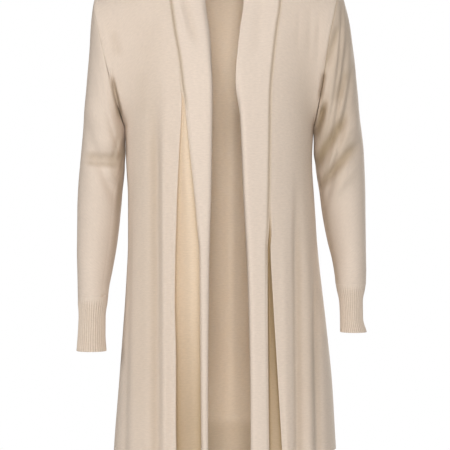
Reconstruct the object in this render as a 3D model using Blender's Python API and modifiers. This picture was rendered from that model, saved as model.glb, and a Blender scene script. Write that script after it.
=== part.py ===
# Open-front cardigan, worn and hollow: knit panels, doubled front bands and ribbed cuffs.
# Sizes are in millimetres here and become metres when a mesh is made. +Z is up, the front faces -Y,
# and the origin lies between the shoulders at the height of the neck points.
# The wearer's right side is at -X.

import math
from collections import namedtuple

import bpy
import numpy as np

MM = 0.001
SIDES = (-1, 1)
SIDE_WORD = {-1: "right", 1: "left"}

# Cloth and seams
CLOTH = 1.6
BAND_CLOTH = 2.4
SEAM = 0.3
RIDGE_SEAM = 0.6
SHOULDER_SEAM = 1.2
ARMHOLE_SEAM = 1.8
NECK_SEAM = 0.9

# Heights
UNDERARM = -300.0
NECK_POINT = -14.0
SIDE_HEM = {-1: -874.0, 1: -862.0}
FRONT_HEM = -866.0
BACK_HEM = -893.0

# Shoulders, neck and armholes
NECK_HALF = 102.0
BACK_NECK_DROP = 31.0
BACK_NECK_DEPTH = 72.0
SHOULDER_TIP = {-1: -72.0, 1: -52.0}
SHOULDER_ROLL = 130.0
RISE_POWER = 1.8
ARMHOLE_DEPTH = 60.0
SQUARENESS = 2.2

# Keeps the plan curve open where the body is no deeper than its armhole
LARGEST_START = 0.97
LEAST_DEPTH = 0.01

# Front bands
BAND_WIDTH = 62.0
BAND_TURN = math.radians(100.0)
BAND_TURN_REACH = 10.0
BAND_TURN_SPREAD = 1.8
BAND_TURN_FADE = 12.0
BAND_FLAT = 3.0
BAND_BACK_FLAT = 6.0
LIP_TO_SEAM = 3.5

# Direction across the band at the shoulder and at the centre back
BAND_AT_SHOULDER = (-46.0, 0.0, 32.0)
BAND_AT_BACK = (0.0, -17.0, 55.0)

# A pleat starts to go in where it is this wide, and is full over this further width
PLEAT_START = 4.0
PLEAT_OPENS = 9.0
PLEAT_FULL_WIDTH = 10.0
PLEAT_LEAD = 4.0
DEEPEST_UNDERCUT = 2.0
UNDERCUT_SHARE = 0.1

# Cuffs
CUFF_RIBS = 36
RIB_HEIGHT = 0.9
CUFF_CLOTH = 1.3

# Levels, where 0 is the hem, 1 the underarm and 2 the shoulder: where the shoulder seam starts to
# widen and where the band starts to stand up towards the neck
SHOULDER_LEVEL = 1.8
STANDING_LEVEL = 1.45

# A panel's smooth stretch stops this far before the lip of its pleat
PANEL_STOP = 8.0

# Mesh density
PLACES_PER_LINE = 80
PANEL_COLUMNS = 15
PLEAT_STEPS = 1
LOWER_LEVELS = 13
UPPER_LEVELS = 10
BACK_SIDE_COLUMNS = 8
BACK_NECK_COLUMNS = 5
RING_POINTS = 24
SLEEVE_LEVELS = 18
BAND_COLUMNS = 9
NECK_LEVELS = 6
CUFF_LEVELS = 5

# Torso in plan by height: half width at the wearer's right and left, depth at the front and back
Torso = namedtuple("Torso", "height right left front back")
TORSO = (
    Torso(-900, 190, 205, 129, 128),
    Torso(-860, 188, 202, 128, 126),
    Torso(-744, 179, 195, 126, 121),
    Torso(-647, 172, 185, 124, 116),
    Torso(-568, 167, 176, 124, 110),
    Torso(-497, 164, 169, 124, 104),
    Torso(-427, 164, 164, 124, 102),
    Torso(-357, 167, 160, 123, 104),
    Torso(-300, 169, 163, 122, 108),
)

# Depth of the chest in front of the shoulder seams by height
Chest = namedtuple("Chest", "height depth")
CHEST = (
    Chest(-300, 122),
    Chest(-235, 118),
    Chest(-190, 110),
    Chest(-138, 95),
    Chest(-96, 79),
    Chest(-70, 69),
    Chest(-47, 58),
    Chest(-30, 44),
    Chest(-18.5, 25),
    Chest(-15.3, 13.5),
    Chest(-14, 0),
)

# Vertical lines of the fronts by height: lip of the pleat, band seam and opening edge on each side,
# as distances from the middle, and how far the pleat goes in
Lines = namedtuple("Lines", "height lip_r band_r edge_r edge_l band_l lip_l depth_r depth_l")
FRONT_LINES = (
    Lines(-870, 75, 31, 22, 52, 81, 105, 27, 21),
    Lines(-801, 76, 32, 22, 52, 80, 101, 27, 20),
    Lines(-700, 76, 33, 22, 51, 79, 95, 26, 18),
    Lines(-598, 78, 34, 21, 49, 78, 89, 25, 14),
    Lines(-513, 77, 35, 20, 46, 78, 85, 22, 8),
    Lines(-480, 76, 38, 19, 44, 80, 86, 20, 3),
    Lines(-412, 74, 44, 17, 40, 82, 87, 15, 0),
    Lines(-344, 71, 51, 16, 37, 83, 88, 9, 0),
    Lines(-259, 67, 60, 15, 32, 84, 89, 1, 0),
    Lines(-235, 69, 64, 15, 30, 85, 90, 0, 0),
    Lines(-190, 74, 69, 18, 29, 89, 94, 0, 0),
    Lines(-138, 83, 78, 24, 34, 95, 100, 0, 0),
    Lines(-84, 91, 86, 32, 40, 102, 107, 0, 0),
    Lines(-40, 99, 94, 42, 48, 102, 107, 0, 0),
    Lines(-14, 107, 102, 56, 56, 102, 107, 0, 0),
)

# How deep a pleat is beside its lip and beside its band, as shares of its depth
RECESS_SHARES = {-1: (1.0, 0.75), 1: (0.5, 1.0)}

# Cloth that turns in at a pleat's edge: distance past the edge, share of the depth reached there,
# and share of the undercut, by which the lip overhangs
Turn = namedtuple("Turn", "reach share undercut")
PLEAT_TURN = (
    Turn(-0.5, 0.00, 0),
    Turn(0.8, 0.16, 0),
    Turn(1.6, 0.55, 1),
    Turn(2.4, 1.00, 0),
)

# Armhole seen from the front: distance from the middle by share of its height
Armhole = namedtuple("Armhole", "share right left")
ARMHOLE = (
    Armhole(0.00, 169, 163),
    Armhole(0.12, 177, 168),
    Armhole(0.28, 187, 175),
    Armhole(0.47, 198, 182),
    Armhole(0.64, 207, 188),
    Armhole(0.79, 215, 196),
    Armhole(0.91, 221, 202),
    Armhole(1.00, 222, 207),
)

# Folds that run down a panel: place at the underarm and at the hem, heights where it starts and is
# full, height out of the cloth (negative is a valley) and half width
Fold = namedtuple("Fold", "top_x hem_x start full height half_width")
FRONT_FOLDS = {
    -1: (
        Fold(-113, -110, -230, -380, -8, 10),
        Fold(-93, -91, -250, -420, 3, 8),
        Fold(-140, -148, -330, -560, 3, 13),
    ),
    1: (
        Fold(124, 127, -330, -560, -7, 8),
        Fold(142, 147, -420, -640, 4, 9),
        Fold(156, 166, -450, -640, -6, 8),
    ),
}
BACK_FOLDS = (
    Fold(-118, -136, -420, -700, -6, 16),
    Fold(-62, -74, -380, -680, 5, 18),
    Fold(-12, -16, -440, -700, -5, 18),
    Fold(48, 58, -400, -690, 5, 17),
    Fold(108, 128, -430, -700, -6, 16),
)

# Sleeve rings: outer and inner side seen from the front, half depth and middle in depth
Ring = namedtuple("Ring", "share outer outer_z inner inner_z half_depth middle")
SLEEVE_RINGS = {
    -1: (
        Ring(0.00, 223, -74, 170, -301, 60, 0),
        Ring(0.05, 226, -92, 170, -309, 60, 0),
        Ring(0.12, 229, -122, 170, -324, 59, 0),
        Ring(0.20, 231, -160, 169.5, -342, 58, 0),
        Ring(0.32, 236, -218, 169.5, -368, 56, 2),
        Ring(0.46, 242, -295, 173, -410, 54, 5),
        Ring(0.60, 249, -375, 178, -462, 51, 6),
        Ring(0.72, 253, -445, 183, -505, 47, 3),
        Ring(0.84, 253, -512, 190, -548, 42, -6),
        Ring(0.94, 251, -566, 196, -582, 36, -18),
        Ring(1.00, 250, -596, 197, -596, 31, -25),
    ),
    1: (
        Ring(0.00, 208, -54, 164.5, -301, 60, 0),
        Ring(0.05, 214, -68, 164.5, -309, 60, 0),
        Ring(0.12, 221, -92, 164.5, -324, 59, 0),
        Ring(0.20, 228, -128, 164.5, -342, 58, 0),
        Ring(0.32, 236, -190, 166.5, -368, 56, 2),
        Ring(0.46, 243, -268, 172.5, -410, 54, 5),
        Ring(0.60, 252, -350, 179, -456, 51, 5),
        Ring(0.72, 254, -420, 187, -498, 47, 1),
        Ring(0.84, 254, -485, 195, -532, 42, -8),
        Ring(0.94, 254, -545, 199, -560, 36, -20),
        Ring(1.00, 253, -573, 200, -573, 31, -26),
    ),
}
ARMHOLE_FADE = 0.15

# Creases across a sleeve: share of its length, angle from the outer side round by the front,
# reach along the sleeve, spread round it in degrees, slope, and height
Crease = namedtuple("Crease", "share angle reach spread slope height")
SLEEVE_CREASES = {
    -1: (
        Crease(0.26, 110, 0.040, 45, 0.10, -4),
        Crease(0.37, 60, 0.045, 50, -0.05, 3),
        Crease(0.50, 95, 0.040, 50, 0.04, -5),
        Crease(0.60, 70, 0.045, 50, -0.03, 3),
        Crease(0.54, 260, 0.045, 50, 0.05, -5),
    ),
    1: (
        Crease(0.17, 70, 0.040, 45, 0.14, -4),
        Crease(0.29, 80, 0.040, 50, 0.14, -5),
        Crease(0.42, 85, 0.040, 50, 0.12, -5),
        Crease(0.52, 75, 0.045, 50, 0.08, 3),
        Crease(0.54, 260, 0.045, 50, 0.05, -5),
    ),
}

# Cuff rings from the sleeve down: outer and inner side seen from the front, half depth, middle
Cuff = namedtuple("Cuff", "height outer inner half_depth middle")
CUFF_RINGS = {
    -1: (
        Cuff(-596, 250, 197, 31, -25),
        Cuff(-630, 247, 202, 27, -32),
        Cuff(-660, 248, 202, 27, -37),
        Cuff(-689, 250, 200, 29, -40),
    ),
    1: (
        Cuff(-573, 253, 200, 31, -26),
        Cuff(-605, 249, 207, 26, -33),
        Cuff(-632, 250, 208, 26, -38),
        Cuff(-658, 255, 208, 28, -42),
    ),
}

# Colour and roughness of each kind of knit
PANEL_KNIT = (0.70, 0.60, 0.49)
BAND_KNIT = (0.72, 0.62, 0.51)
CUFF_KNIT = (0.66, 0.56, 0.44)
KNIT_ROUGHNESS = 0.9


def read(table, key, name, at):
    """Smooth value of one column at a place between the table's rows, without overshoot."""
    rows = sorted(table, key=lambda row: getattr(row, key))
    knots = np.array([getattr(row, key) for row in rows], dtype=float)
    values = np.array([getattr(row, name) for row in rows], dtype=float)
    at = min(max(at, knots[0]), knots[-1])
    steps = np.diff(knots)
    slopes = np.diff(values) / steps
    tangents = np.zeros(len(knots))
    tangents[0] = slopes[0]
    tangents[-1] = slopes[-1]
    for i in range(1, len(knots) - 1):
        if slopes[i - 1] * slopes[i] > 0:
            tangents[i] = 2 * slopes[i - 1] * slopes[i] / (slopes[i - 1] + slopes[i])
    i = min(int(np.searchsorted(knots, at, side="right")) - 1, len(steps) - 1)
    t = (at - knots[i]) / steps[i]
    return float(
        values[i] * (1 + 2 * t) * (1 - t) ** 2
        + tangents[i] * steps[i] * t * (1 - t) ** 2
        + values[i + 1] * t * t * (3 - 2 * t)
        + tangents[i + 1] * steps[i] * t * t * (t - 1)
    )


def soft_step(t):
    """0 below 0, 1 above 1 and smooth between."""
    t = np.clip(t, 0.0, 1.0)
    return t * t * (3 - 2 * t)


def b_spline(control, steps):
    """Points on a uniform cubic B-spline through its first and last control."""
    control = np.asarray(control, dtype=float)
    control = np.vstack([2 * control[0] - control[1], control, 2 * control[-1] - control[-2]])
    points = []
    for a, b, c, d in zip(control[:-3], control[1:-2], control[2:-1], control[3:]):
        for t in np.arange(steps) / steps:
            points.append((
                a * (1 - t) ** 3 + b * (3 * t ** 3 - 6 * t ** 2 + 4)
                + c * (-3 * t ** 3 + 3 * t ** 2 + 3 * t + 1) + d * t ** 3
            ) / 6)
    points.append(control[-2])
    return np.array(points)


def spaced(line, count):
    """Points at equal distances along a line of many points."""
    lengths = np.linalg.norm(np.diff(line, axis=0), axis=1)
    travelled = np.concatenate([[0.0], np.cumsum(lengths)])
    wanted = np.linspace(0.0, travelled[-1], count)
    return np.stack([np.interp(wanted, travelled, line[:, k]) for k in range(3)], axis=1)


def levels():
    """Levels of a panel: 0 is the hem, 1 the underarm and 2 the shoulder."""
    lower = np.linspace(0.0, 1.0, LOWER_LEVELS)
    upper = np.linspace(1.0, 2.0, UPPER_LEVELS)
    return list(lower) + list(upper[1:])


def half_seam(level):
    """Half of the parting between front and back, wider where the cloth turns over the shoulder."""
    near_top = soft_step((level - SHOULDER_LEVEL) / (2.0 - SHOULDER_LEVEL))
    return (RIDGE_SEAM + (SHOULDER_SEAM - RIDGE_SEAM) * near_top) / 2


def armhole_point(side, share):
    """Point on the armhole's rear half: share 0 is the underarm, 1 the shoulder tip."""
    tip = SHOULDER_TIP[side]
    turn = math.pi * (1 - share)
    z = (tip + UNDERARM) / 2 + (tip - UNDERARM) / 2 * math.cos(turn)
    x = read(ARMHOLE, "share", SIDE_WORD[side], (z - UNDERARM) / (tip - UNDERARM))
    return x, ARMHOLE_DEPTH * math.sin(turn), z


def rise(share):
    """Share of the height from the underarm that the cloth has reached at an upper level."""
    return 1 - (1 - share) ** RISE_POWER


def shoulder_height(side, x, neck_drop):
    """Height of the shoulder seam, or of the neck seam inside it."""
    tip_x = read(ARMHOLE, "share", SIDE_WORD[side], 1.0)
    along = np.clip((x - NECK_HALF) / (tip_x - NECK_HALF), 0.0, 1.0)
    inside = np.sqrt(1 - np.clip(x / NECK_HALF, 0.0, 1.0) ** 2)
    return NECK_POINT + (SHOULDER_TIP[side] - NECK_POINT) * along - neck_drop * inside


def form(side, level, x, front):
    """Points of the smooth garment at distances x from the middle, on one level of one side."""
    x = np.asarray(x, dtype=float)
    if level <= 1.0:
        middle_hem = FRONT_HEM if front else BACK_HEM
        outer_z = SIDE_HEM[side] + (UNDERARM - SIDE_HEM[side]) * level
        middle_z = middle_hem + (UNDERARM - middle_hem) * level
        half = read(TORSO, "height", SIDE_WORD[side], outer_z)
        depth = read(TORSO, "height", "front" if front else "back", middle_z)
        y = depth * np.clip(1 - (x / half) ** SQUARENESS, 0.0, 1.0) ** (1 / SQUARENESS)
        z = outer_z + (middle_z - outer_z) * soft_step(1 - x / half)
    else:
        share = level - 1.0
        start_x, start_y, start_z = armhole_point(side, share)
        drop = 0.0 if front else BACK_NECK_DROP
        if front:
            inner_z = UNDERARM + (NECK_POINT - UNDERARM) * rise(share)
            depth = read(CHEST, "height", "depth", inner_z)
            neck = 0.0
        else:
            down = min(1.0, (NECK_POINT - UNDERARM) * (1 - rise(share)) / SHOULDER_ROLL)
            roll = math.sqrt(1 - (1 - down) ** 2)
            depth = TORSO[-1].back * roll
            neck = BACK_NECK_DEPTH * (1 - roll) * np.sqrt(1 - np.clip(x / NECK_HALF, 0.0, 1.0) ** 2)
        ratio = min(LARGEST_START, start_y / max(depth, LEAST_DEPTH))
        half = start_x / (1 - ratio ** SQUARENESS) ** (1 / SQUARENESS)
        y = depth * np.clip(1 - (x / half) ** SQUARENESS, 0.0, 1.0) ** (1 / SQUARENESS) + neck
        free = UNDERARM + (shoulder_height(side, x, drop) - UNDERARM) * rise(share)
        free_start = UNDERARM + (shoulder_height(side, start_x, drop) - UNDERARM) * rise(share)
        near = 1 - np.clip((start_x - x) / (start_x - NECK_HALF), 0.0, 1.0)
        z = free + (start_z - free_start) * near ** 2
    return np.stack([side * x, -y if front else y, z], axis=1)


def outer_x(side, level):
    """Distance from the middle where a level starts, at the side seam or the armhole."""
    if level > 1.0:
        return armhole_point(side, level - 1.0)[0]
    return read(TORSO, "height", SIDE_WORD[side], SIDE_HEM[side] + (UNDERARM - SIDE_HEM[side]) * level)


def band_height(side, level):
    """Height of a front's level where it meets the band."""
    if level > 1.0:
        return UNDERARM + (NECK_POINT - UNDERARM) * rise(level - 1.0)
    return FRONT_HEM + (UNDERARM - FRONT_HEM) * level


def line_x(side, level, name):
    """Distance from the middle of one of the fronts' vertical lines."""
    return read(FRONT_LINES, "height", name + "_" + SIDE_WORD[side][0], band_height(side, level))


def round_places(start, end, half):
    """Distances from the middle, from start down to end, closer together where the body turns."""
    turns = np.linspace(math.acos(min(1.0, start / half)), math.acos(end / half), PLACES_PER_LINE)
    return half * np.cos(turns)


def folded(line, folds, outward):
    """Line with its folds raised or sunk along the cloth's outward direction in plan."""
    tangent = np.gradient(line[:, :2], axis=0)
    tangent /= np.linalg.norm(tangent, axis=1)[:, None] + 1e-9
    normal = np.stack([tangent[:, 1], -tangent[:, 0]], axis=1) * outward
    raised = line.copy()
    down = (UNDERARM - line[:, 2]) / (UNDERARM - FRONT_HEM)
    for fold in folds:
        strength = soft_step((fold.start - line[:, 2]) / (fold.start - fold.full))
        x = fold.top_x + (fold.hem_x - fold.top_x) * np.clip(down, 0.0, 1.0)
        bump = strength * fold.height * np.exp(-((line[:, 0] - x) / fold.half_width) ** 2)
        raised[:, :2] += normal * bump[:, None]
    return raised


def recess(width, depth, lip_share, band_share):
    """Pleat from its lip to the band seam: distance towards the middle, and depth inward."""
    small = min(1.0, width / PLEAT_FULL_WIDTH)
    depth = depth * soft_step((width - PLEAT_START) / PLEAT_OPENS)
    under = min(DEEPEST_UNDERCUT, UNDERCUT_SHARE * depth)
    near_lip = []
    near_band = []
    for turn in PLEAT_TURN:
        reach = (turn.reach - under * turn.undercut) * small
        near_lip.append((reach, turn.share * depth * lip_share))
        near_band.append((width - reach, turn.share * depth * band_share))
    middle = (width / 2, depth * (lip_share + band_share) / 2)
    return [(-PLEAT_LEAD, 0.0)] + near_lip + [middle] + near_band[::-1] + [(width + LIP_TO_SEAM - SEAM, 0.0)]


def front_line(side, level):
    """One level of a front, from its side seam or armhole to its band."""
    start = outer_x(side, level)
    lip = line_x(side, level, "lip")
    seam = line_x(side, level, "band")
    depth = line_x(side, level, "depth")
    places = round_places(start, lip + PANEL_STOP, start)
    panel = folded(form(side, level, places, True), FRONT_FOLDS[side], -side)
    panel[:, 1] -= half_seam(level)

    pleat = []
    for along, inward in recess(lip - seam - LIP_TO_SEAM, depth, *RECESS_SHARES[side]):
        point = form(side, level, [lip - along], True)[0]
        point[1] += inward - half_seam(level)
        pleat.append(point)
    pleat = b_spline([panel[-1]] + pleat, PLEAT_STEPS)
    return np.vstack([spaced(panel, PANEL_COLUMNS), pleat[1:]])


def back_line(level):
    """One level of the back, from the side or armhole at the wearer's right to the left one."""
    halves = []
    for side in SIDES:
        start = outer_x(side, level)
        outer = form(side, level, round_places(start, NECK_HALF, start), False)
        inner = form(side, level, round_places(NECK_HALF, 0.0, NECK_HALF), False)
        halves.append((outer, inner))
    (right, right_neck), (left, left_neck) = halves
    line = folded(np.vstack([right, right_neck[1:], left_neck[::-1][1:], left[::-1][1:]]), BACK_FOLDS, -1)
    line[:, 1] += half_seam(level)
    corners = [0, len(right) - 1, len(right) + len(right_neck) - 2]
    corners += [len(line) - 1 - i for i in corners[1::-1]]
    counts = (BACK_SIDE_COLUMNS, BACK_NECK_COLUMNS, BACK_NECK_COLUMNS, BACK_SIDE_COLUMNS)
    points = [line[:1]]
    for first, last, count in zip(corners[:-1], corners[1:], counts):
        points.append(spaced(line[first:last + 1], count + 1)[1:])
    return np.vstack(points)


def band_stations(side):
    """Seam point, direction across and seen width of the band, from the hem to the centre back."""
    stations = []
    for level in levels():
        seam_x = line_x(side, level, "band")
        edge_x = line_x(side, level, "edge")
        seam, edge = form(side, level, [seam_x, edge_x], True)
        seen = seam_x - edge_x
        standing = soft_step((level - STANDING_LEVEL) / (2.0 - STANDING_LEVEL))
        across = (edge - seam) / np.linalg.norm(edge - seam)
        shoulder = np.array(BAND_AT_SHOULDER) * (side, 1, 1)
        across = across * (1 - standing) + shoulder / np.linalg.norm(shoulder) * standing
        seen += (BAND_WIDTH - seen) * standing
        start = SEAM / 2 + (NECK_SEAM - SEAM / 2) * standing
        stations.append((seam, across, seen, start))
    nearly_back = math.acos(BAND_BACK_FLAT / NECK_HALF)
    for turn in list(np.linspace(0.0, nearly_back, NECK_LEVELS)[1:]) + [math.pi / 2]:
        seam = np.array([
            side * NECK_HALF * math.cos(turn),
            BACK_NECK_DEPTH * math.sin(turn),
            NECK_POINT - BACK_NECK_DROP * math.sin(turn),
        ])
        across = np.array(BAND_AT_SHOULDER) * (side * math.cos(turn), 1, 1)
        across = across * (1, math.cos(turn), math.cos(turn)) + np.array(BAND_AT_BACK) * math.sin(turn)
        stations.append((seam, across, BAND_WIDTH, NECK_SEAM))
    return stations


def band_lines(side):
    """Levels of a band, each from its seam to its free edge, which turns inward where it narrows."""
    stations = band_stations(side)
    seams = np.array([station[0] for station in stations])
    along = np.gradient(seams, axis=0)
    along[-1] = (-side, 0.0, 0.0)
    distance = np.linspace(0.0, BAND_WIDTH - SEAM, PLACES_PER_LINE)
    step = distance[1] - distance[0]
    lines = []
    for (seam, across, seen, start), forward in zip(stations, along):
        across = across / np.linalg.norm(across)
        inward = -side * np.cross(forward, across)
        inward /= np.linalg.norm(inward)
        turn = BAND_TURN * min(1.0, max(0.0, (BAND_WIDTH - seen) / BAND_TURN_FADE))
        flat = max(BAND_FLAT, seen - BAND_TURN_REACH)
        turns = turn * soft_step((distance - flat) / (BAND_TURN_SPREAD * (seen - flat)))
        sideways = start + np.concatenate([[0.0], np.cumsum(np.cos(turns) * step)[:-1]])
        deeper = np.concatenate([[0.0], np.cumsum(np.sin(turns) * step)[:-1]])
        line = seam + sideways[:, None] * across + deeper[:, None] * inward
        flat_end = int(BAND_FLAT / step)
        lines.append(np.vstack([line[:1], spaced(line[flat_end:], BAND_COLUMNS - 1)]))
    lines = np.array(lines)
    lines[-1, :, 0] = side * SEAM / 2
    return lines


def sleeve_ring(side, share):
    """Ring of a sleeve: point 0 is its outer side, and it goes round by the front."""
    rings = SLEEVE_RINGS[side]
    outer, outer_z, inner, inner_z, half_depth, middle = (
        read(rings, "share", name, share)
        for name in ("outer", "outer_z", "inner", "inner_z", "half_depth", "middle")
    )
    first = rings[0]
    fade = max(0.0, 1 - share / ARMHOLE_FADE) ** 2
    points = []
    for i in range(RING_POINTS):
        turn = 2 * math.pi * i / RING_POINTS
        x = (outer + inner) / 2 + (outer - inner) / 2 * math.cos(turn)
        z = (outer_z + inner_z) / 2 + (outer_z - inner_z) / 2 * math.cos(turn)
        y = middle - half_depth * math.sin(turn)
        hole_x, _, hole_z = armhole_point(side, 1 - min(turn, 2 * math.pi - turn) / math.pi)
        gap = SEAM + (ARMHOLE_SEAM - SEAM) * math.cos(turn / 2) ** 2
        x += fade * (hole_x + gap - (first.outer + first.inner) / 2
                     - (first.outer - first.inner) / 2 * math.cos(turn))
        z += fade * (hole_z - (first.outer_z + first.inner_z) / 2
                     - (first.outer_z - first.inner_z) / 2 * math.cos(turn))
        lift = 0.0
        for crease in SLEEVE_CREASES[side]:
            away = (math.degrees(turn) - crease.angle + 180) % 360 - 180
            centre = crease.share + crease.slope * math.radians(away)
            lift += crease.height * math.exp(-((share - centre) / crease.reach) ** 2
                                             - (away / crease.spread) ** 2)
        x += lift * math.cos(turn)
        y -= lift * math.sin(turn)
        points.append((side * x, y, z))
    return points


def cuff_ring(side, height, count, inset, ribs):
    """Ring of a cuff, with every second point raised on a rib."""
    rings = CUFF_RINGS[side]
    outer, inner, half_depth, middle = (
        read(rings, "height", name, height) for name in ("outer", "inner", "half_depth", "middle")
    )
    points = []
    for i in range(count):
        turn = 2 * math.pi * i / count
        raised = RIB_HEIGHT if ribs and i % 2 else 0.0
        reach = (outer - inner) / 2 - inset + raised
        x = (outer + inner) / 2 + reach * math.cos(turn)
        y = middle - (half_depth - inset + raised) * math.sin(turn)
        points.append((side * x, y, height))
    return points


def knit(name, colour):
    """Matte knit material."""
    material = bpy.data.materials.new(name)
    material.use_nodes = True
    shader = material.node_tree.nodes["Principled BSDF"]
    shader.inputs["Base Color"].default_value = (*colour, 1.0)
    shader.inputs["Roughness"].default_value = KNIT_ROUGHNESS
    shader.inputs["Metallic"].default_value = 0.0
    return material


def add_piece(collection, name, points, faces, colour, wall):
    """Object from points in millimetres, walled inward by Solidify where a wall is given."""
    mesh = bpy.data.meshes.new(name)
    mesh.from_pydata([tuple(np.array(point) * MM) for point in points], [], faces)
    mesh.shade_smooth()
    mesh.materials.append(knit(name, colour))
    piece = bpy.data.objects.new(name, mesh)
    collection.objects.link(piece)
    if wall:
        shell = piece.modifiers.new("Wall", "SOLIDIFY")
        shell.thickness = wall * MM
        shell.offset = -1.0


def sheet(lines, closed=False, flip=False):
    """Points and faces of a sheet lofted through lines of equal length, open or closed round."""
    rows, columns = len(lines), len(lines[0])
    points = [point for line in lines for point in line]
    faces = []
    for row in range(rows - 1):
        for column in range(columns if closed else columns - 1):
            after = (column + 1) % columns
            face = (row * columns + column, row * columns + after,
                    (row + 1) * columns + after, (row + 1) * columns + column)
            faces.append(face[::-1] if flip else face)
    return points, faces


def cuff_solid(side):
    """Points and faces of a cuff: ribs outside, a plain inside and closed ends."""
    top = CUFF_RINGS[side][0].height - RIDGE_SEAM
    bottom = CUFF_RINGS[side][-1].height
    heights = np.linspace(top, bottom, CUFF_LEVELS)
    count = 2 * CUFF_RIBS
    outside, faces = sheet([cuff_ring(side, h, count, 0.0, True) for h in heights], True, side < 0)
    inner_rings = [cuff_ring(side, h, CUFF_RIBS, CUFF_CLOTH, False) for h in heights]
    inside, inner_faces = sheet(inner_rings, True, side > 0)
    base = len(outside)
    faces += [tuple(base + corner for corner in face) for face in inner_faces]
    for end, row in ((1, 0), (-1, CUFF_LEVELS - 1)):
        for rib in range(CUFF_RIBS):
            a = row * count + 2 * rib
            b = a + 1
            c = row * count + (2 * rib + 2) % count
            d = base + row * CUFF_RIBS + rib
            e = base + row * CUFF_RIBS + (rib + 1) % CUFF_RIBS
            for face in ((d, b, a), (d, e, b), (e, c, b)):
                faces.append(face if end * side > 0 else face[::-1])
    return outside + inside, faces


def main():
    for thing in list(bpy.data.objects):
        bpy.data.objects.remove(thing, do_unlink=True)
    collection = bpy.data.collections.new("open_front_cardigan")
    bpy.context.scene.collection.children.link(collection)

    points, faces = sheet([back_line(level) for level in levels()], flip=True)
    add_piece(collection, "back", points, faces, PANEL_KNIT, CLOTH)
    for side in SIDES:
        word = SIDE_WORD[side]
        points, faces = sheet([front_line(side, level) for level in levels()], flip=side > 0)
        add_piece(collection, "front_" + word, points, faces, PANEL_KNIT, CLOTH)
        points, faces = sheet(band_lines(side), flip=side > 0)
        add_piece(collection, "band_" + word, points, faces, BAND_KNIT, BAND_CLOTH)
        rings = [sleeve_ring(side, share) for share in np.linspace(0.0, 1.0, SLEEVE_LEVELS)]
        points, faces = sheet(rings, closed=True, flip=side < 0)
        add_piece(collection, "sleeve_" + word, points, faces, PANEL_KNIT, CLOTH)
        points, faces = cuff_solid(side)
        add_piece(collection, "cuff_" + word, points, faces, CUFF_KNIT, 0.0)


main()
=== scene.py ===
# Looks of the open-front cardigan: fine jersey knit worn on a hidden general figure.
# Lengths are in millimetres in the tables and become metres when a mesh is made.
# +Z is up, the front faces -Y and the wearer's right side is at -X.

import math
from collections import namedtuple

import bpy
import numpy as np
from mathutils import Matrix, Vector


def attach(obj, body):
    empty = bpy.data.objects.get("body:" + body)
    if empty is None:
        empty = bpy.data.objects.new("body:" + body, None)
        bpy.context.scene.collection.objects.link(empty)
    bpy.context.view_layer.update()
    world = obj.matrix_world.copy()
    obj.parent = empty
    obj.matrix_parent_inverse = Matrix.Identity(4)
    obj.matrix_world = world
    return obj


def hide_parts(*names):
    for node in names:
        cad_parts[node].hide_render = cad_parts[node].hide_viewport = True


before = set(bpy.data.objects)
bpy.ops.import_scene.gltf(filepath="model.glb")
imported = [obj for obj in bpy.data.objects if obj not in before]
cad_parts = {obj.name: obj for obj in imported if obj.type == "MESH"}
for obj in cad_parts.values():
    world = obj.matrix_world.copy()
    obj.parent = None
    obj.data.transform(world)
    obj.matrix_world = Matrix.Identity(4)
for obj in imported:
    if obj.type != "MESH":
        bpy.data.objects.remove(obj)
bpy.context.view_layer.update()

MM = 0.001
SIDES = (-1, 1)
SIDE_WORD = {-1: "right", 1: "left"}
TINY = 1e-9


def rows(kind, *values):
    """Table with named columns from plain rows."""
    return tuple(kind(*row) for row in values)


def sided(kind, right, left):
    """Table of each side."""
    return {-1: rows(kind, *right), 1: rows(kind, *left)}


# Cloth and the gap left at each seam's edge
CLOTH = 1.3
BAND_CLOTH = 2.4
CUFF_CLOTH = 1.5
EDGE_GAP = 0.05

# Heights
UNDERARM = -300.0
NECK_POINT = -14.0
SIDE_HEM = {-1: -874.0, 1: -862.0}
FRONT_HEM = -866.0
BACK_HEM = -893.0

# Shoulders, neck and armholes
NECK_HALF = 102.0
BACK_NECK_DROP = 31.0
BACK_NECK_DEPTH = 72.0
SHOULDER_TIP = {-1: -72.0, 1: -52.0}
SHOULDER_ROLL = 130.0
RISE_POWER = 1.8
ARMHOLE_DEPTH = 60.0
SQUARENESS = 2.2
LARGEST_START = 0.97
LEAST_DEPTH = 0.01

# Front bands
BAND_WIDTH = 62.0
BAND_TURN = math.radians(100.0)
BAND_TURN_REACH = 10.0
BAND_TURN_SPREAD = 1.8
BAND_TURN_FADE = 12.0
BAND_FLAT = 3.0
BAND_BACK_FLAT = 6.0
LIP_TO_SEAM = 1.4
BAND_AT_SHOULDER = (-46.0, 0.0, 32.0)
BAND_AT_BACK = (0.0, -17.0, 55.0)
STANDING_LEVEL = 1.45

# Pleats beside the bands
PLEAT_START = 1.2
PLEAT_OPENS = 5.0
PLEAT_FULL_WIDTH = 10.0
PLEAT_LEAD = 4.0
DEEPEST_UNDERCUT = 2.0
UNDERCUT_SHARE = 0.1
PANEL_STOP = 8.0

# Cuffs
CUFF_RIBS = 36
RIB_HEIGHT = 1.1
RIB_FADE = 15.0
RIB_POWER = 0.7

# Torso in plan by height: half width at the wearer's right and left, depth at the front and back
Torso = namedtuple("Torso", "height right left front back")
TORSO = rows(Torso,
    (-900, 190, 205, 129, 128),
    (-860, 188, 202, 128, 126),
    (-744, 179, 195, 126, 121),
    (-647, 172, 185, 124, 116),
    (-568, 167, 176, 124, 110),
    (-497, 164, 169, 124, 104),
    (-427, 164, 164, 124, 102),
    (-357, 167, 160, 123, 104),
    (-300, 169, 163, 122, 108),
)

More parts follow.
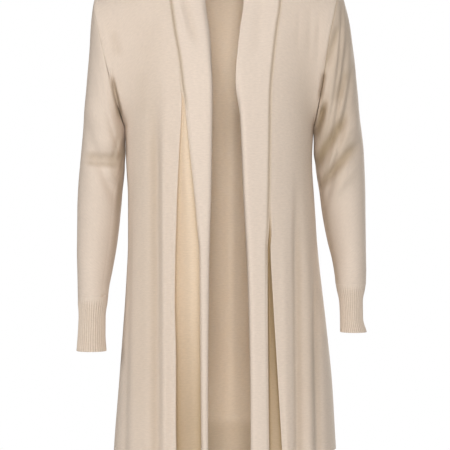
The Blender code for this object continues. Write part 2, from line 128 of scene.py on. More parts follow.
# Depth of the chest in front of the shoulder seams by height
Chest = namedtuple("Chest", "height depth")
CHEST = rows(Chest,
    (-300, 122),
    (-235, 118),
    (-190, 110),
    (-138, 95),
    (-96, 79),
    (-70, 69),
    (-47, 58),
    (-30, 44),
    (-18.5, 25),
    (-15.3, 13.5),
    (-14, 0),
)

# Vertical lines of the fronts by height: lip of the pleat, band seam and opening edge on each side,
# as distances from the middle, and how far the pleat goes in
Lines = namedtuple("Lines", "height lip_r band_r edge_r edge_l band_l lip_l depth_r depth_l")
FRONT_LINES = rows(Lines,
    (-870, 75, 31, 22, 52, 81, 105, 27, 21),
    (-801, 76, 32, 22, 52, 80, 101, 27, 20),
    (-700, 76, 33, 22, 51, 79, 95, 26, 18),
    (-598, 78, 34, 21, 49, 78, 89, 25, 14),
    (-513, 77, 35, 20, 46, 78, 85, 22, 8),
    (-480, 76, 38, 19, 44, 80, 87, 20, 4.5),
    (-412, 74, 44, 17, 40, 82, 87, 15, 0),
    (-344, 71, 51, 16, 37, 83, 88, 9, 0),
    (-259, 67, 60, 15, 32, 84, 89, 5, 0),
    (-235, 69.5, 64, 15, 30, 85, 90, 2, 0),
    (-190, 74, 69, 18, 29, 89, 94, 0, 0),
    (-138, 83, 78, 24, 34, 95, 100, 0, 0),
    (-84, 91, 86, 32, 40, 102, 107, 0, 0),
    (-40, 99, 94, 42, 48, 102, 107, 0, 0),
    (-14, 107, 102, 56, 56, 102, 107, 0, 0),
)

# How deep a pleat is beside its lip and beside its band, as shares of its depth
RECESS_SHARES = {-1: (1.0, 0.75), 1: (0.5, 1.0)}

# Cloth that turns in at a pleat's edge: distance past the edge, share of the depth reached there,
# and share of the undercut, by which the lip overhangs
Turn = namedtuple("Turn", "reach share undercut")
PLEAT_TURN = rows(Turn,
    (-0.5, 0.00, 0),
    (0.8, 0.16, 0),
    (1.6, 0.55, 1),
    (2.4, 1.00, 0),
)

# Armhole seen from the front: distance from the middle by share of its height
Armhole = namedtuple("Armhole", "share right left")
ARMHOLE = rows(Armhole,
    (0.00, 169, 163),
    (0.12, 177, 168),
    (0.28, 187, 175),
    (0.47, 198, 182),
    (0.64, 207, 188),
    (0.79, 215, 196),
    (0.91, 221, 202),
    (1.00, 222, 207),
)

# Folds that run down a panel: place at the underarm and at the hem, heights where it starts and is
# full, height out of the cloth (negative is a valley) and half width
Fold = namedtuple("Fold", "top_x hem_x start full height half_width")
FRONT_FOLDS = sided(Fold, (
    (-114, -112, -190, -380, -8, 10),
    (-97, -95, -200, -400, 4, 7),
    (-145, -152, -330, -560, 3, 12),
), (
    (131, 134, -330, -560, -8, 8),
    (147, 151, -420, -640, 4, 8),
    (160, 169, -450, -640, -6, 7),
))
BACK_FOLDS = rows(Fold,
    (-118, -136, -420, -700, -6, 16),
    (-62, -74, -380, -680, 5, 18),
    (-12, -16, -440, -700, -5, 18),
    (48, 58, -400, -690, 5, 17),
    (108, 128, -430, -700, -6, 16),
)

# Sleeve rings: outer and inner side seen from the front, half depth and middle in depth
Ring = namedtuple("Ring", "share outer outer_z inner inner_z half_depth middle")
SLEEVE_RINGS = sided(Ring, (
    (0.00, 223, -74, 170, -301, 60, 0),
    (0.05, 226, -92, 170, -309, 60, 0),
    (0.12, 229, -122, 170, -324, 59, 0),
    (0.20, 231, -160, 169.5, -342, 58, 0),
    (0.32, 236, -218, 169.5, -368, 56, 2),
    (0.46, 242, -295, 173, -410, 54, 5),
    (0.60, 249, -375, 178, -462, 51, 6),
    (0.72, 253, -445, 183, -505, 47, 3),
    (0.84, 253, -512, 190, -548, 42, -6),
    (0.94, 251, -566, 196, -582, 36, -18),
    (1.00, 250, -596, 197, -596, 31, -25),
), (
    (0.00, 208, -54, 164.5, -301, 60, 0),
    (0.05, 214, -68, 164.5, -309, 60, 0),
    (0.12, 221, -92, 164.5, -324, 59, 0),
    (0.20, 228, -128, 164.5, -342, 58, 0),
    (0.32, 236, -190, 166.5, -368, 56, 2),
    (0.46, 243, -268, 172.5, -410, 54, 5),
    (0.60, 252, -350, 179, -456, 51, 5),
    (0.72, 254, -420, 187, -498, 47, 1),
    (0.84, 254, -485, 195, -532, 42, -8),
    (0.94, 254, -545, 199, -560, 36, -20),
    (1.00, 253, -573, 200, -573, 31, -26),
))
ARMHOLE_FADE = 0.15

# Creases across a sleeve: share of its length, angle from the outer side round by the front,
# reach along the sleeve, spread round it in degrees, slope, and height
Crease = namedtuple("Crease", "share angle reach spread slope height")
SLEEVE_CREASES = sided(Crease, (
    (0.26, 110, 0.040, 45, 0.10, -1.5),
    (0.37, 60, 0.045, 50, -0.05, 3),
    (0.50, 95, 0.040, 50, 0.04, -5),
    (0.60, 70, 0.045, 50, -0.03, 3),
    (0.54, 260, 0.045, 50, 0.05, -5),
), (
    (0.17, 70, 0.040, 45, 0.14, -4),
    (0.29, 80, 0.040, 50, 0.14, -5),
    (0.42, 85, 0.040, 50, 0.12, -5),
    (0.52, 75, 0.045, 50, 0.08, 3),
    (0.54, 260, 0.045, 50, 0.05, -5),
))

# Cuff rings from the sleeve down: outer and inner side seen from the front, half depth, middle
Cuff = namedtuple("Cuff", "height outer inner half_depth middle")
CUFF_RINGS = sided(Cuff, (
    (-596, 250, 197, 31, -25),
    (-630, 247, 202, 27, -32),
    (-660, 248, 202, 27, -37),
    (-689, 250, 200, 29, -40),
), (
    (-573, 253, 200, 31, -26),
    (-605, 246, 207, 26, -33),
    (-632, 246, 208, 26, -38),
    (-656, 252, 208, 28, -42),
))

# Drag lines seen from the front: where each starts and ends, half widths there and height out of the
# cloth (negative is a valley)
Drag = namedtuple("Drag", "x z to_x to_z width to_width height")
FRONT_DRAGS = sided(Drag, (
    (-190, -205, -172, -298, 3, 4.5, -10),
    (-168, -312, -178, -362, 4.5, 4, -6),
    (-189, -129, -174, -188, 7, 8, -3),
    (-138, -190, -134, -300, 9, 10, -1.2),
    (-112, -110, -128, -190, 12, 14, -1.2),
), (
    (207, -112, 178, -214, 6, 6, -5),
    (180, -200, 170, -260, 4, 3.5, -7),
    (222, -120, 192, -222, 9, 9, 3.5),
    (182, -252, 163, -326, 4, 6, -10),
    (226, -190, 196, -268, 9, 9, -4),
    (136, -96, 131, -170, 5, 5, -0.8),
    (156, -96, 150, -188, 5.5, 5.5, -1),
    (171, -104, 165, -205, 5, 5.5, -1.2),
))

# Drag lines on the sleeves alone
SLEEVE_DRAGS = sided(Drag, (
    (-176, -306, -189, -358, 3, 3, -3.5),
    (-168, -316, -184, -470, 2.5, 3.5, -4),
    (-250, -320, -170, -330, 11, 11, 2.5),
    (-248, -350, -168, -358, 8, 9, -6),
    (-248, -363, -168, -370, 3.5, 4, -4),
    (-250, -381, -166, -388, 8, 8, 2.5),
    (-199, -588, -216, -611, 2.5, 2, -3),
), (
    (224, -268, 152, -392, 8, 8, -8),
    (234, -292, 176, -382, 6, 7, 3),
    (248, -314, 156, -424, 9, 8, -8),
    (248, -358, 180, -434, 8, 8, 3),
))

# Soft painted shades of the cloth, laid like drag lines, with the amount of brown painted shade as height
FRONT_SHADES = sided(Drag, (
    (-128, -60, -140, -960, 30, 24, 0.17),
), (
    (145, -60, 158, -960, 22, 24, 0.20),
))
SLEEVE_SHADES = sided(Drag, (
    (-176, -240, -182, -420, 12, 10, 0.22),
    (-170, -350, -194, -600, 6, 5, 0.36),
), (
    (216, 20, 198, -450, 40, 28, 0.36),
    (176, -230, 176, -400, 10, 10, 0.25),
    (170, -370, 208, -620, 7, 5, 0.30),
))

# Drag lines behind, and on the bands
BACK_DRAGS = sided(Drag, (
    (-205, -150, -178, -225, 4, 4, -4),
    (-222, -250, -178, -335, 5, 4.5, -4.5),
    (-236, -330, -182, -352, 8, 8, 3),
    (-236, -356, -184, -382, 4.5, 4.5, -4),
    (-150, -120, -120, -235, 9, 12, -2.5),
    (-60, -120, -40, -330, 16, 20, -2),
), (
    (203, -140, 176, -220, 4, 4, -4),
    (226, -240, 174, -322, 5, 4.5, -4.5),
    (238, -326, 180, -372, 5, 4.5, -4),
    (236, -300, 182, -345, 8, 8, 2.5),
    (146, -112, 116, -240, 9, 12, -2.5),
    (66, -110, 42, -300, 16, 20, -2),
))
BAND_DRAGS = sided(Drag, (
    (-68, -60, -38, -176, 8, 7, -3),
    (-76, -70, -55, -165, 5, 5, 1.5),
), (
    (70, -70, 60, -190, 9, 10, -1.5),
))

# Soft folds that run the whole length of a panel, finer than those of the solids
FINE_FRONT_FOLDS = sided(Fold, (
    (-156, -166, -300, -520, -2.5, 7),
    (-86, -84, -300, -600, -1.0, 4),
), (
    (104, 112, -420, -600, 2.0, 8),
))
FINE_BACK_FOLDS = rows(Fold,
    (-150, -160, -520, -800, 2.5, 9),
    (-92, -104, -460, -720, 2.5, 10),
    (-38, -44, -520, -760, -3.0, 10),
    (78, 90, -480, -740, -3.0, 11),
    (136, 158, -560, -800, 3.0, 10),
)

# Ridge down the inside of the back, seen through the opening
INSIDE_RIDGE_X = 18.0
INSIDE_RIDGE_HALF = 13.0
INSIDE_RIDGE_HEIGHT = -7.0
INSIDE_RIDGE_TOP = -40.0
INSIDE_RIDGE_END = -830.0
INSIDE_RIDGE_FADE = 18.0

# Painted light and shade of the back's inside: warm painted light all over, painted shade beside the ridge
# and below some heights
INSIDE_PAINTED_LIGHT = 0.5
INSIDE_SHADE = 0.14
INSIDE_SHADE_REACH = 19.0
Below = namedtuple("Below", "shade start reach")
INSIDE_BELOW = rows(Below,
    (0.22, -430.0, 380.0),
    (0.20, -818.0, 26.0),
)

# Seams: each edge dips into a narrow groove and turns in as an allowance
TUCK_DEPTH = 1.7
SIDE_TUCK_DEPTH = 0.4
TUCK_REACH = 2.2
ALLOWANCE = 3.0
EDGE_STEPS = (0.0, 0.6, 1.2, 2.0, 3.0, 4.4, 6.2)
SLEEVE_SEAM_TURN = {-1: math.radians(132), 1: math.radians(158)}
SEAM_TWIST = 0.6
SLEEVE_SEAM_DEPTH = 0.7
SLEEVE_SEAM_REACH = 1.4
HEM_LINE = 17.0
HEM_GROOVE = 0.35
HEM_REACH = 0.9
BAND_STITCH_LINE = 5.0
BAND_GROOVE = 0.35
BAND_GROOVE_REACH = 1.0

# Edges of a grid: its axis, and whether it is the last row or column
FIRST_ROW, LAST_ROW = (0, False), (0, True)
FIRST_COLUMN, LAST_COLUMN = (1, False), (1, True)

# Mesh density
HEM_STEPS = (0.0, 0.8, 2.0, 4.0, 7.0, 10.0, 13.0, 15.0, 16.0, 17.0, 18.0, 19.0, 21.0)
HEM_STEPS_END = 24.0
CUFF_LAST_STEP = 1.0
PLACES_PER_LINE = 260
PANEL_COLUMNS = 84
PLEAT_STEPS = 5
LOWER_LEVELS = 130
UPPER_LEVELS = 100
BACK_SIDE_COLUMNS = 52
BACK_NECK_COLUMNS = 44
RING_POINTS = 128
SLEEVE_LEVELS = 190
BAND_COLUMNS = 34
NECK_LEVELS = 40
POINTS_PER_RIB = 8
CUFF_LEVELS = 40
RIM_TURNS = (math.radians(45), math.radians(90), math.radians(135))

# Share of a drag line over which it fades out at each end, and what is left of it there
DRAG_FADE = 0.3
DRAG_END = 0.1

# Names of the map along the wales and of the two painted tones: painted warm light on cloth inside a pleat,
# and painted shade of creases and seams, browner where light that the cloth passes on would make it so
CLOTH_MAP = "cloth"
PAINTED_LIGHT = "warm"
PAINTED_SHADE = "deep"

# Painted light and shade inside a pleat: depth where its painted warm light is full, how much painted shade
# it has at its top, what its hem adds and where that starts, and more painted shade beside its lip and its
# band
PAINTED_LIGHT_DEPTH = 5.0
PLEAT_SHADE = {-1: 0.0, 1: 1.0}
PLEAT_LOW_SHADE = {-1: 0.50, 1: -0.45}
PLEAT_LOW_START = 0.4
PLEAT_LIP_SHADE = 0.36
PLEAT_BAND_SHADE = 0.34
PLEAT_SIDE_REACH = 0.2

# Shades of creases, folds, ribs and seams, and the width at which a pleat counts as open
CREASE_FULL = 9.0
CREASE_SHADE = 0.52
CREASE_SPREAD = 1.3
FOLD_SHADE = 0.6
RIB_SHADE = 0.42
CLOSED_WIDTH = 5.0
CLOSED_SOFT = 6.0
SEAM_SHADE = 0.55
ARMHOLE_SHADE = 0.7
SEAM_SHADE_REACH = 3.2

# The sleeve lies against the body just under the arm
PRESS = 1.4
PRESS_TOP = -285.0
PRESS_END = -366.0
PRESS_SOFT = 22.0
PRESS_X = 196.0
SLEEVE_TUCK_DEPTH = 0.9

# Where a sleeve's front drag lines give way to those behind
FRONT_TURN_Y = 4.0
FRONT_TURN_SOFT = 16.0

# Nodes that are tubes
TUBES = ("sleeve", "cuff")

# What is seen of each piece, laid flat in metres, and the area of its cut
Cut = namedtuple("Cut", "width length area")

# Looks of the knits: colour, how much the stitches and the mottling shade the cloth, bump, and how
# much light the cloth passes on
Look = namedtuple("Look", "colour stitch_shade mottling bump softness")
LOOKS = {
    "front": Look((0.725, 0.613, 0.518), 0.05, 0.02, 0.5, 0.25),
    "back": Look((0.725, 0.622, 0.540), 0.05, 0.02, 0.5, 0.70),
    "sleeve": Look((0.725, 0.613, 0.518), 0.05, 0.02, 0.5, 0.08),
    "band": Look((0.742, 0.632, 0.540), 0.04, 0.015, 0.4, 0.10),
    "cuff": Look((0.745, 0.632, 0.536), 0.05, 0.02, 0.5, 0.08),
}
# Colours of the painted warm light and of the painted brown shade, which multiply the cloth's colour
PAINTED_LIGHT_COLOUR = (1.11, 1.07, 0.97)
PAINTED_SHADE_COLOUR = (0.52, 0.46, 0.34)

# Knit in general: pitch of wales and courses, slant of a stitch's legs and how they shade a wale,
# mottling, streaks, fuzz and the shader's values
WALE = 1.45
COURSE = 1.05
SLANT = 1.6
LEG_LOW = 0.6
LEG_HIGH = 0.95
CLOUD_SCALE = 28.0
CLOUD_DETAIL = 3.0
FINE_DETAIL = 2.0
SHEEN = 0.15
KNIT_ROUGHNESS = 0.85
KNIT_SPECULAR = 0.25
SHEEN_ROUGHNESS = 0.5
SOFT_RADIUS = (1.0, 1.0, 0.95)
SOFT_SCALE = 0.0025
STITCH_HEIGHT = 0.16
FUZZ_HEIGHT = 0.25
FUZZ_SCALE = 900.0
STREAKS_ACROSS = 0.14
STREAKS_UP = 0.42
STREAK_SHADE = 0.10

# Studio, in metres
Lamp = namedtuple("Lamp", "name place size power colour")
LAMPS = rows(Lamp,
    ("key_light", (0.0, -3.4, 0.75), 1.1, 90.0, (1.0, 0.985, 0.965)),
    ("left_light", (-2.6, -1.4, 0.3), 1.2, 24.0, (1.0, 0.985, 0.97)),
    ("right_light", (2.6, -1.4, 0.3), 1.2, 8.0, (1.0, 0.985, 0.97)),
    ("back_light", (1.3, 2.6, 0.3), 1.5, 82.0, (0.95, 0.99, 1.0)),
)
LAMP_AIM = (0.0, 0.0, -0.45)
SURROUND_COLOUR = (1.0, 0.99, 0.98)
SURROUND_LIGHT = 0.12
WHITE = (1.0, 1.0, 1.0)
FLOOR_HALF = 1.9
FLOOR_HEIGHT = -1.60
FLOOR_COLOUR = (0.85, 0.84, 0.82)
FLOOR_ROUGHNESS = 0.8
CAMERA_PLACE = (0.007, -3.2, -0.471)
SENSOR_WIDTH = 36.0
LENS = 145.45


def read(table, key, name, at):
    """Smooth values of one column at places between the table's rows, without overshoot."""
    rows = sorted(table, key=lambda row: getattr(row, key))
    knots = np.array([getattr(row, key) for row in rows], dtype=float)
    values = np.array([getattr(row, name) for row in rows], dtype=float)
    at = np.clip(np.asarray(at, dtype=float), knots[0], knots[-1])
    steps = np.diff(knots)
    slopes = np.diff(values) / steps
    tangents = np.zeros(len(knots))
    tangents[0] = slopes[0]
    tangents[-1] = slopes[-1]
    for i in range(1, len(knots) - 1):
        if slopes[i - 1] * slopes[i] > 0:
            tangents[i] = 2 * slopes[i - 1] * slopes[i] / (slopes[i - 1] + slopes[i])
    i = np.clip(np.searchsorted(knots, at, side="right") - 1, 0, len(steps) - 1)
    t = (at - knots[i]) / steps[i]
    return (
        values[i] * (1 + 2 * t) * (1 - t) ** 2
        + tangents[i] * steps[i] * t * (1 - t) ** 2
        + values[i + 1] * t * t * (3 - 2 * t)
        + tangents[i + 1] * steps[i] * t * t * (t - 1)
    )


def limited(t):
    """Value held between 0 and 1."""
    return np.clip(t, 0.0, 1.0)


def length(vectors, axis=2):
    """Lengths of the vectors along one axis."""
    return np.linalg.norm(vectors, axis=axis)


def between(start, end, share):
    """Value at a share of the way from start to end."""
    return start + (end - start) * share


def bell(t):
    """1 at 0, falling away softly on both sides."""
    return np.exp(-t ** 2)


def soft_step(t):
    """0 below 0, 1 above 1 and smooth between."""
    t = limited(t)
    return t * t * (3 - 2 * t)


def b_spline(control, steps):
    """Points on a uniform cubic B-spline through its first and last control."""
    control = np.asarray(control, dtype=float)
    control = np.vstack([2 * control[0] - control[1], control, 2 * control[-1] - control[-2]])
    points = []
    for a, b, c, d in zip(control[:-3], control[1:-2], control[2:-1], control[3:]):
        for t in np.arange(steps) / steps:
            points.append((
                a * (1 - t) ** 3 + b * (3 * t ** 3 - 6 * t ** 2 + 4)
                + c * (-3 * t ** 3 + 3 * t ** 2 + 3 * t + 1) + d * t ** 3
            ) / 6)
    points.append(control[-2])
    return np.array(points)


def spaced(line, count, fine_start=False, fine_end=False):
    """Points along a line of many points: equal steps, with finer ones beside a seam."""
    lengths = length(np.diff(line, axis=0), 1)
    travelled = np.concatenate([[0.0], np.cumsum(lengths)])
    total = travelled[-1]
    start = np.array(EDGE_STEPS if fine_start else (0.0,))
    end = total - np.array(EDGE_STEPS if fine_end else (0.0,))[::-1]
    middle_part = np.linspace(start[-1], end[0], count - len(start) - len(end) + 2)
    wanted = np.concatenate([start[:-1], middle_part, end[1:]])
    return np.stack([np.interp(wanted, travelled, line[:, k]) for k in range(3)], axis=1)


def levels():
    """Levels of a panel: 0 is the hem, 1 the underarm and 2 the shoulder, with finer ones at the hem."""
    height = UNDERARM - FRONT_HEM
    near_hem = np.array(HEM_STEPS) / height
    lower = np.linspace(HEM_STEPS_END / height, 1.0, LOWER_LEVELS)
    upper = np.linspace(1.0, 2.0, UPPER_LEVELS)
    return np.concatenate([near_hem, lower, upper[1:]])


def armhole_point(side, share):
    """Point on the armhole's rear half: share 0 is the underarm, 1 the shoulder tip."""
    tip = SHOULDER_TIP[side]
    turn = math.pi * (1 - share)
    z = (tip + UNDERARM) / 2 + (tip - UNDERARM) / 2 * np.cos(turn)
    x = read(ARMHOLE, "share", SIDE_WORD[side], (z - UNDERARM) / (tip - UNDERARM))
    return x, ARMHOLE_DEPTH * np.sin(turn), z


def rise(share):
    """Share of the height from the underarm that the cloth has reached at an upper level."""
    return 1 - (1 - share) ** RISE_POWER


def shoulder_height(side, x, neck_drop):
    """Height of the shoulder seam, or of the neck seam inside it."""
    tip_x = read(ARMHOLE, "share", SIDE_WORD[side], 1.0)
    along = limited((x - NECK_HALF) / (tip_x - NECK_HALF))
    inside = np.sqrt(1 - limited(x / NECK_HALF) ** 2)
    return between(NECK_POINT, SHOULDER_TIP[side], along) - neck_drop * inside


def form(side, level, x, front):
    """Points of the smooth garment at distances x from the middle, on one level of one side."""
    x = np.asarray(x, dtype=float)
    if level <= 1.0:
        middle_hem = FRONT_HEM if front else BACK_HEM
        outer_z = between(SIDE_HEM[side], UNDERARM, level)
        middle_z = between(middle_hem, UNDERARM, level)
        half = read(TORSO, "height", SIDE_WORD[side], outer_z)
        depth = read(TORSO, "height", "front" if front else "back", middle_z)
        y = depth * limited(1 - (x / half) ** SQUARENESS) ** (1 / SQUARENESS)
        z = between(outer_z, middle_z, soft_step(1 - x / half))
    else:
        share = level - 1.0
        start_x, start_y, start_z = armhole_point(side, share)
        drop = 0.0 if front else BACK_NECK_DROP
        if front:
            depth = read(CHEST, "height", "depth", between(UNDERARM, NECK_POINT, rise(share)))
            neck = 0.0
        else:
            down = min(1.0, (NECK_POINT - UNDERARM) * (1 - rise(share)) / SHOULDER_ROLL)
            roll = math.sqrt(1 - (1 - down) ** 2)
            depth = TORSO[-1].back * roll
            neck = BACK_NECK_DEPTH * (1 - roll) * np.sqrt(1 - limited(x / NECK_HALF) ** 2)
        ratio = min(LARGEST_START, start_y / max(depth, LEAST_DEPTH))
        half = start_x / (1 - ratio ** SQUARENESS) ** (1 / SQUARENESS)
        y = depth * limited(1 - (x / half) ** SQUARENESS) ** (1 / SQUARENESS) + neck
        free = between(UNDERARM, shoulder_height(side, x, drop), rise(share))
        free_start = between(UNDERARM, shoulder_height(side, start_x, drop), rise(share))
        near = 1 - limited((start_x - x) / (start_x - NECK_HALF))
        z = free + (start_z - free_start) * near ** 2
    return np.stack([side * x, -y if front else y, z], axis=1)


def outer_x(side, level):
    """Distance from the middle where a level starts, at the side seam or the armhole."""
    if level > 1.0:
        return float(armhole_point(side, level - 1.0)[0])
    height = between(SIDE_HEM[side], UNDERARM, level)
    return float(read(TORSO, "height", SIDE_WORD[side], height))


def band_height(level):
    """Height of a front's level where it meets the band."""
    if level > 1.0:
        return between(UNDERARM, NECK_POINT, rise(level - 1.0))
    return between(FRONT_HEM, UNDERARM, level)


def line_x(side, level, name):
    """Distance from the middle of one of the fronts' vertical lines."""
    return float(read(FRONT_LINES, "height", name + "_" + SIDE_WORD[side][0], band_height(level)))


def round_places(start, end, half):
    """Distances from the middle, from start down to end, closer together where the body turns."""
    turns = np.linspace(math.acos(min(1.0, start / half)), math.acos(end / half), PLACES_PER_LINE)
    return half * np.cos(turns)


def fold_height(x, z, folds):
    """Height of the long folds at places seen from the front."""
    down = limited((UNDERARM - z) / (UNDERARM - FRONT_HEM))
    height = np.zeros(x.shape)
    for fold in folds:
        strength = soft_step((fold.start - z) / (fold.start - fold.full))
        middle = between(fold.top_x, fold.hem_x, down)
        height += strength * fold.height * bell((x - middle) / fold.half_width)
    return height


def folded(line, folds, outward):
    """Line with its folds raised or sunk along the cloth's outward direction in plan."""
    tangent = np.gradient(line[:, :2], axis=0)
    tangent /= length(tangent, 1)[:, None] + TINY
    normal = np.stack([tangent[:, 1], -tangent[:, 0]], axis=1) * outward
    raised = line.copy()
    raised[:, :2] += normal * fold_height(line[:, 0], line[:, 2], folds)[:, None]
    return raised


def recess(width, depth, lip_share, band_share):
    """Pleat from its lip to the band seam: distance towards the middle, and depth inward."""
    small = min(1.0, width / PLEAT_FULL_WIDTH)
    depth = depth * soft_step((width - PLEAT_START) / PLEAT_OPENS)
    under = min(DEEPEST_UNDERCUT, UNDERCUT_SHARE * depth)
    near_lip = []
    near_band = []
    for turn in PLEAT_TURN:
        reach = (turn.reach - under * turn.undercut) * small
        near_lip.append((reach, turn.share * depth * lip_share))
        near_band.append((width - reach, turn.share * depth * band_share))
    middle = (width / 2, depth * (lip_share + band_share) / 2)
    end = (width + LIP_TO_SEAM - EDGE_GAP, 0.0)
    return [(-PLEAT_LEAD, 0.0)] + near_lip + [middle] + near_band[::-1] + [end]


def front_line(side, level):
    """One level of a front from its side to its band: points, and how deep and how far across a pleat
    from 0 at the lip to 1 at the band each lies, or 0 and -1 on the panel."""
    start = outer_x(side, level)
    lip = line_x(side, level, "lip")
    seam = line_x(side, level, "band")
    depth = line_x(side, level, "depth")
    places = round_places(start, lip + PANEL_STOP, start)
    folds = FRONT_FOLDS[side] + FINE_FRONT_FOLDS[side]
    panel = folded(form(side, level, places, True), folds, -side)
    panel[:, 1] -= EDGE_GAP
    controls = [panel[-1]]
    sunk = [(0.0, -1.0)]
    width = lip - seam - LIP_TO_SEAM
    for along, inward in recess(width, depth, *RECESS_SHARES[side]):
        point = form(side, level, [lip - along], True)[0]
        point[1] += inward - EDGE_GAP
        controls.append(point)
        sunk.append((inward, along / width))
    pleat = b_spline(controls, PLEAT_STEPS)
    sunk = b_spline(sunk, PLEAT_STEPS)
    panel = spaced(panel, PANEL_COLUMNS, fine_start=True)
    flat = np.tile((0.0, -1.0), (len(panel), 1))
    return np.vstack([panel, pleat[1:]]), np.vstack([flat, sunk[1:]])


def back_line(level):
    """One level of the back, from the side or armhole at the wearer's right to the left one."""
    halves = []
    for side in SIDES:
        start = outer_x(side, level)
        outer = form(side, level, round_places(start, NECK_HALF, start), False)
        inner = form(side, level, round_places(NECK_HALF, 0.0, NECK_HALF), False)
        halves.append((outer, inner))
    (right, right_neck), (left, left_neck) = halves
    whole = np.vstack([right, right_neck[1:], left_neck[::-1][1:], left[::-1][1:]])
    line = folded(whole, BACK_FOLDS + FINE_BACK_FOLDS, -1)
    line[:, 1] += EDGE_GAP
    across = bell((line[:, 0] - INSIDE_RIDGE_X) / INSIDE_RIDGE_HALF)
    down = soft_step((INSIDE_RIDGE_TOP - line[:, 2]) / (INSIDE_RIDGE_TOP - UNDERARM))
    down *= soft_step((line[:, 2] - INSIDE_RIDGE_END) / INSIDE_RIDGE_FADE)
    line[:, 1] += INSIDE_RIDGE_HEIGHT * across * down
    corners = [0, len(right) - 1, len(right) + len(right_neck) - 2]
    corners += [len(line) - 1 - i for i in corners[1::-1]]
    counts = (BACK_SIDE_COLUMNS, BACK_NECK_COLUMNS, BACK_NECK_COLUMNS, BACK_SIDE_COLUMNS)
    points = [line[:1]]
    for part, (first, last, count) in enumerate(zip(corners[:-1], corners[1:], counts)):
        points.append(spaced(line[first:last + 1], count + 1, part == 0, part == 3)[1:])
    return np.vstack(points)


def band_stations(side):
    """Seam point, direction across and seen width of the band, from the hem to the centre back."""
    stations = []
    for level in levels():
        seam_x = line_x(side, level, "band")
        edge_x = line_x(side, level, "edge")
        seam, edge = form(side, level, [seam_x, edge_x], True)
        seen = seam_x - edge_x
        standing = soft_step((level - STANDING_LEVEL) / (2.0 - STANDING_LEVEL))
        across = (edge - seam) / np.linalg.norm(edge - seam)
        shoulder = np.array(BAND_AT_SHOULDER) * (side, 1, 1)
        across = across * (1 - standing) + shoulder / np.linalg.norm(shoulder) * standing
        seen += (BAND_WIDTH - seen) * standing
        stations.append((seam, across, seen))
    nearly_back = math.acos(BAND_BACK_FLAT / NECK_HALF)
    for turn in list(np.linspace(0.0, nearly_back, NECK_LEVELS)[1:]) + [math.pi / 2]:
        seam = np.array([
            side * NECK_HALF * math.cos(turn),
            BACK_NECK_DEPTH * math.sin(turn),
            NECK_POINT - BACK_NECK_DROP * math.sin(turn),
        ])
        across = np.array(BAND_AT_SHOULDER) * (side * math.cos(turn), 1, 1)
        across = across * (1, math.cos(turn), math.cos(turn)) + np.array(BAND_AT_BACK) * math.sin(turn)
        stations.append((seam, across, BAND_WIDTH))
    return stations


def band_grid(side):
    """Levels of a band, each from its seam to its free edge, which turns inward where it narrows."""
    stations = band_stations(side)
    seams = np.array([station[0] for station in stations])
    along = np.gradient(seams, axis=0)
    along[-1] = (-side, 0.0, 0.0)
    distance = np.linspace(0.0, BAND_WIDTH - EDGE_GAP, PLACES_PER_LINE)
    step = distance[1] - distance[0]
    lines = []
    for (seam, across, seen), forward in zip(stations, along):
        across = across / np.linalg.norm(across)
        inward = -side * np.cross(forward, across)
        inward /= np.linalg.norm(inward)
        turn = BAND_TURN * min(1.0, max(0.0, (BAND_WIDTH - seen) / BAND_TURN_FADE))
        flat = max(BAND_FLAT, seen - BAND_TURN_REACH)
        turns = turn * soft_step((distance - flat) / (BAND_TURN_SPREAD * (seen - flat)))
        sideways = EDGE_GAP + np.concatenate([[0.0], np.cumsum(np.cos(turns) * step)[:-1]])
        deeper = np.concatenate([[0.0], np.cumsum(np.sin(turns) * step)[:-1]])
        line = seam + sideways[:, None] * across + deeper[:, None] * inward
        lines.append(spaced(line, BAND_COLUMNS, fine_start=True, fine_end=True))
    lines = np.array(lines)
    lines[-1, :, 0] = side * EDGE_GAP
    return lines


def sleeve_grid(side):
    """Rings of a sleeve from armhole to cuff; each starts at the underarm seam."""
    rings = SLEEVE_RINGS[side]
    fine = np.array(EDGE_STEPS) / ((rings[0].outer_z + rings[0].inner_z) / 2 - rings[-1].outer_z)
    middle_part = np.linspace(fine[-1], 1 - fine[-1], SLEEVE_LEVELS)
    share = np.concatenate([fine[:-1], middle_part, 1 - fine[-2::-1]])[:, None]
    seam = SLEEVE_SEAM_TURN[side]
    seam = between(seam, math.pi, soft_step(1 - share / SEAM_TWIST))
    turn = seam + 2 * math.pi * np.arange(RING_POINTS)[None, :] / RING_POINTS
    turn = np.mod(turn, 2 * math.pi)
    outer, outer_z, inner, inner_z, half_depth, middle = (
        read(rings, "share", name, share)
        for name in ("outer", "outer_z", "inner", "inner_z", "half_depth", "middle")
    )
    first = rings[0]
    fade = limited(1 - share / ARMHOLE_FADE) ** 2
    x = (outer + inner) / 2 + (outer - inner) / 2 * np.cos(turn)
    z = (outer_z + inner_z) / 2 + (outer_z - inner_z) / 2 * np.cos(turn)
    y = middle - half_depth * np.sin(turn)
    hole_x, _, hole_z = armhole_point(side, 1 - np.minimum(turn, 2 * math.pi - turn) / math.pi)
    x = x + fade * (hole_x + EDGE_GAP - (first.outer + first.inner) / 2
                    - (first.outer - first.inner) / 2 * np.cos(turn))
    z = z + fade * (hole_z - (first.outer_z + first.inner_z) / 2
                    - (first.outer_z - first.inner_z) / 2 * np.cos(turn))
    lift = 0.0
    for crease in SLEEVE_CREASES[side]:
        away = (np.degrees(turn) - crease.angle + 180) % 360 - 180
        centre = crease.share + crease.slope * np.radians(away)
        lift = lift + crease.height * np.exp(-((share - centre) / crease.reach) ** 2
                                             - (away / crease.spread) ** 2)
    x = x + lift * np.cos(turn)
    y = y - lift * np.sin(turn)
    return np.stack([side * x, y, z], axis=2)


